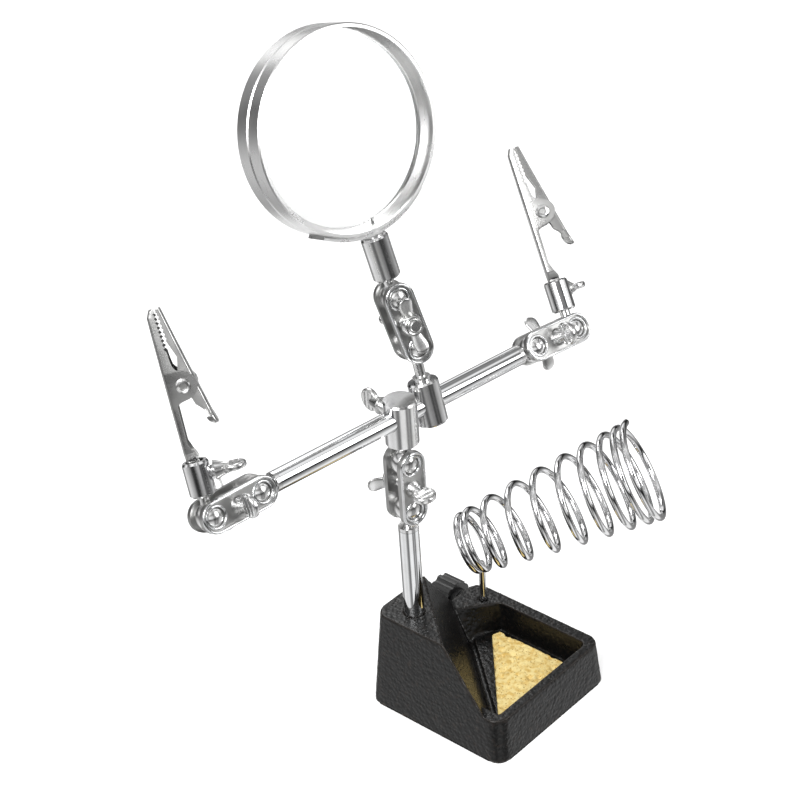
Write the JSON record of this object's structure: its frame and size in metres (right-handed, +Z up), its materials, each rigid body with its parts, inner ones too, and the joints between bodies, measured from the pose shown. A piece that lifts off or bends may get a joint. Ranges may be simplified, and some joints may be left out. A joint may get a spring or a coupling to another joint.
{
  "type": "third-hand soldering stand",
  "caption": "Cast base with a sponge tray, coil holder for an iron, and a ball-jointed crossbar carrying alligator clips and a magnifier.",
  "frame": {"origin": "centre of the base's underside", "axes": "+Z up; +X to the tray's right side; -Y to the tray's front"},
  "size_m": [0.1682, 0.0945, 0.2302],
  "materials": {
    "cast_paint": "wrinkle black paint over a rough casting",
    "sponge": "fine open cellulose cells",
    "knob_plastic": "moulded, satin",
    "lens_glass": "polished clear glass",
    "plate_nickel": "pressed, satin nickel plate",
    "clip_steel": "bright nickel plate",
    "ring_chrome": "bright plate",
    "wire_chrome": "bright plated spring wire",
    "bright_chrome": "bright plated turned steel"
  },
  "bodies": {
    "stand": {"base": "cast_paint", "sponge": "sponge", "post": "bright_chrome"},
    "knob": {"clamp_knob": "knob_plastic", "clamp_knob_screw": "bright_chrome"},
    "holder": {"coil_holder": "wire_chrome"},
    "post_stud": {"post_ball_stud": "bright_chrome"},
    "lower_link": {"lower_link_front_plate": "plate_nickel", "lower_link_rear_plate": "plate_nickel", "lower_link_screw": "bright_chrome"},
    "lower_nut": {"lower_link_wing_nut": "bright_chrome"},
    "clamp_stud": {"crossbar_clamp_ball_stud": "bright_chrome"},
    "clamp": {"crossbar_clamp": "bright_chrome"},
    "clamp_screw": {"crossbar_clamp_screw": "bright_chrome"},
    "bar": {"crossbar": "bright_chrome"},
    "left_bar_stud": {"left_bar_ball_stud": "bright_chrome"},
    "left_link": {"left_link_front_plate": "plate_nickel", "left_link_rear_plate": "plate_nickel", "left_link_screw": "bright_chrome"},
    "left_nut": {"left_link_wing_nut": "bright_chrome"},
    "left_socket_stud": {"left_socket_ball_stud": "bright_chrome"},
    "left_clip": {"left_socket": "bright_chrome", "left_clip_fixed_jaw": "clip_steel", "left_clip_rivet": "clip_steel", "left_clip_spring": "ring_chrome"},
    "left_socket_thumbscrew": {"left_socket_screw": "bright_chrome"},
    "left_jaw": {"left_clip_moving_jaw": "clip_steel"},
    "right_bar_stud": {"right_bar_ball_stud": "bright_chrome"},
    "right_link": {"right_link_front_plate": "plate_nickel", "right_link_rear_plate": "plate_nickel", "right_link_screw": "bright_chrome"},
    "right_nut": {"right_link_wing_nut": "bright_chrome"},
    "right_socket_stud": {"right_socket_ball_stud": "bright_chrome"},
    "right_clip": {"right_socket": "bright_chrome", "right_clip_fixed_jaw": "clip_steel", "right_clip_rivet": "clip_steel", "right_clip_spring": "ring_chrome"},
    "right_socket_thumbscrew": {"right_socket_screw": "bright_chrome"},
    "right_jaw": {"right_clip_moving_jaw": "clip_steel"},
    "magnifier_clamp_body": {"magnifier_clamp": "bright_chrome", "magnifier_clamp_ball_stud": "bright_chrome"},
    "magnifier_link": {"magnifier_link_front_plate": "plate_nickel", "magnifier_link_rear_plate": "plate_nickel", "magnifier_link_screw": "bright_chrome"},
    "magnifier_nut": {"magnifier_link_wing_nut": "bright_chrome"},
    "magnifier_stud": {"magnifier_socket_ball_stud": "bright_chrome"},
    "magnifier_head": {"magnifier_socket": "bright_chrome", "magnifier_saddle": "ring_chrome", "magnifier_saddle_screw": "bright_chrome", "magnifier_ring_front": "ring_chrome", "magnifier_ring_rear": "ring_chrome", "magnifier_lens": "lens_glass"}
  },
  "joints": [
    {"name": "knob_turn", "type": "hinge", "parent": "stand", "child": "knob", "pos_m": [0.0211, 0.0309, 0.0105], "axis": [0, 1, 0], "range_deg": [0, 270]},
    {"name": "holder_turn", "type": "hinge", "parent": "stand", "child": "holder", "pos_m": [0.0211, 0.0187, 0.016], "axis": [0, 0, 1], "range_deg": [-70, 110]},
    {"name": "post_ball_twist", "type": "hinge", "parent": "stand", "child": "post_stud", "pos_m": [-0.0174, 0.0153, 0.0777], "axis": [0, 0, 1], "continuous": true},
    {"name": "lower_link_tilt", "type": "hinge", "parent": "post_stud", "child": "lower_link", "pos_m": [-0.0174, 0.0153, 0.0777], "axis": [-0.1547, -0.988, 0], "range_deg": [-29, 60]},
    {"name": "crossbar_clamp_tilt", "type": "hinge", "parent": "lower_link", "child": "clamp_stud", "pos_m": [-0.0174, 0.0153, 0.0949], "axis": [0.1547, 0.988, 0], "range_deg": [-60, 29]},
    {"name": "crossbar_clamp_swivel", "type": "hinge", "parent": "clamp_stud", "child": "clamp", "pos_m": [-0.0174, 0.0153, 0.0949], "axis": [0, 0, 1], "continuous": true},
    {"name": "crossbar_slide", "type": "slide", "parent": "clamp", "child": "bar", "axis": [0.9914, -0.1305, 0], "range_m": [-0.0005, 0.038]},
    {"name": "lower_nut_turn", "type": "hinge", "parent": "lower_link", "child": "lower_nut", "pos_m": [-0.0168, 0.0191, 0.0863], "axis": [0.1547, 0.988, 0], "range_deg": [0, 270]},
    {"name": "clamp_screw_turn", "type": "hinge", "parent": "clamp", "child": "clamp_screw", "pos_m": [-0.0174, 0.0153, 0.1116], "axis": [0.1305, 0.9914, 0], "range_deg": [0, 270]},
    {"name": "left_bar_ball_twist", "type": "hinge", "parent": "bar", "child": "left_bar_stud", "pos_m": [-0.07332, 0.02266, 0.1116], "axis": [0.9914, -0.1305, 0], "continuous": true},
    {"name": "left_link_tilt", "type": "hinge", "parent": "left_bar_stud", "child": "left_link", "pos_m": [-0.07332, 0.02266, 0.1116], "axis": [-0.1216, -0.9237, 0.3633], "range_deg": [-80, 80]},
    {"name": "left_socket_tilt", "type": "hinge", "parent": "left_link", "child": "left_socket_stud", "pos_m": [-0.09038, 0.02479, 0.11129], "axis": [0.1216, 0.9237, -0.3633], "range_deg": [-185, 3]},
    {"name": "left_socket_swivel", "type": "hinge", "parent": "left_socket_stud", "child": "left_clip", "pos_m": [-0.09038, 0.02479, 0.11129], "axis": [0.1199, 0.3496, 0.9292], "continuous": true},
    {"name": "left_nut_turn", "type": "hinge", "parent": "left_link", "child": "left_nut", "pos_m": [-0.08138, 0.02728, 0.11005], "axis": [0.1216, 0.9237, -0.3633], "range_deg": [0, 270]},
    {"name": "left_socket_screw_turn", "type": "hinge", "parent": "left_clip", "child": "left_socket_thumbscrew", "pos_m": [-0.08882, 0.02933, 0.12337], "axis": [0.7443, -0.651, 0.1489], "range_deg": [0, 270]},
    {"name": "left_jaw_open", "type": "hinge", "parent": "left_clip", "child": "left_jaw", "pos_m": [-0.08348, 0.03674, 0.14852], "axis": [0.657, 0.6737, -0.3383], "range_deg": [0, 30], "stiffness_Nm_per_rad": 0.03, "springref_deg": -57.3},
    {"name": "right_bar_ball_twist", "type": "hinge", "parent": "bar", "child": "right_bar_stud", "pos_m": [0.03852, 0.00794, 0.1116], "axis": [0.9914, -0.1305, 0], "range_deg": [-120, 120]},
    {"name": "right_link_tilt", "type": "hinge", "parent": "right_bar_stud", "child": "right_link", "pos_m": [0.03852, 0.00794, 0.1116], "axis": [-0.1077, -0.8181, 0.565], "range_deg": [-80, 60]},
    {"name": "right_socket_tilt", "type": "hinge", "parent": "right_link", "child": "right_socket_stud", "pos_m": [0.05552, 0.00537, 0.11113], "axis": [0.1077, 0.8181, -0.565], "range_deg": [-12, 140]},
    {"name": "right_socket_swivel", "type": "hinge", "parent": "right_socket_stud", "child": "right_clip", "pos_m": [0.05552, 0.00537, 0.11113], "axis": [0.2195, 0.5347, 0.8161], "continuous": true},
    {"name": "right_nut_turn", "type": "hinge", "parent": "right_link", "child": "right_nut", "pos_m": [0.04743, 0.00981, 0.10919], "axis": [0.1077, 0.8181, -0.565], "range_deg": [0, 270]},
    {"name": "right_socket_screw_turn", "type": "hinge", "parent": "right_clip", "child": "right_socket_thumbscrew", "pos_m": [0.05848, 0.01259, 0.12215], "axis": [0.9421, 0.1012, -0.3197], "range_deg": [0, 270]},
    {"name": "right_jaw_open", "type": "hinge", "parent": "right_clip", "child": "right_jaw", "pos_m": [0.06641, 0.02475, 0.14403], "axis": [0.6132, 0.575, -0.5417], "range_deg": [0, 30], "stiffness_Nm_per_rad": 0.03, "springref_deg": -57.3},
    {"name": "magnifier_clamp_turn", "type": "hinge", "parent": "bar", "child": "magnifier_clamp_body", "pos_m": [-0.0063, 0.01384, 0.1116], "axis": [0.9914, -0.1305, 0], "range_deg": [-60, 60]},
    {"name": "magnifier_link_tilt", "type": "hinge", "parent": "magnifier_clamp_body", "child": "magnifier_link", "pos_m": [-0.00561, 0.01903, 0.12986], "axis": [0.333, 0.9102, -0.2463], "range_deg": [-30, 60]},
    {"name": "magnifier_socket_tilt", "type": "hinge", "parent": "magnifier_link", "child": "magnifier_stud", "pos_m": [-0.00739, 0.0241, 0.1462], "axis": [-0.333, -0.9102, 0.2463], "range_deg": [-60, 45]},
    {"name": "magnifier_head_swivel", "type": "hinge", "parent": "magnifier_stud", "child": "magnifier_head", "pos_m": [-0.00739, 0.0241, 0.1462], "axis": [-0.0414, 0.2859, 0.9574], "continuous": true},
    {"name": "magnifier_nut_turn", "type": "hinge", "parent": "magnifier_link", "child": "magnifier_nut", "pos_m": [-0.00778, 0.01806, 0.13898], "axis": [-0.333, -0.9102, 0.2463], "range_deg": [0, 270]}
  ]
}
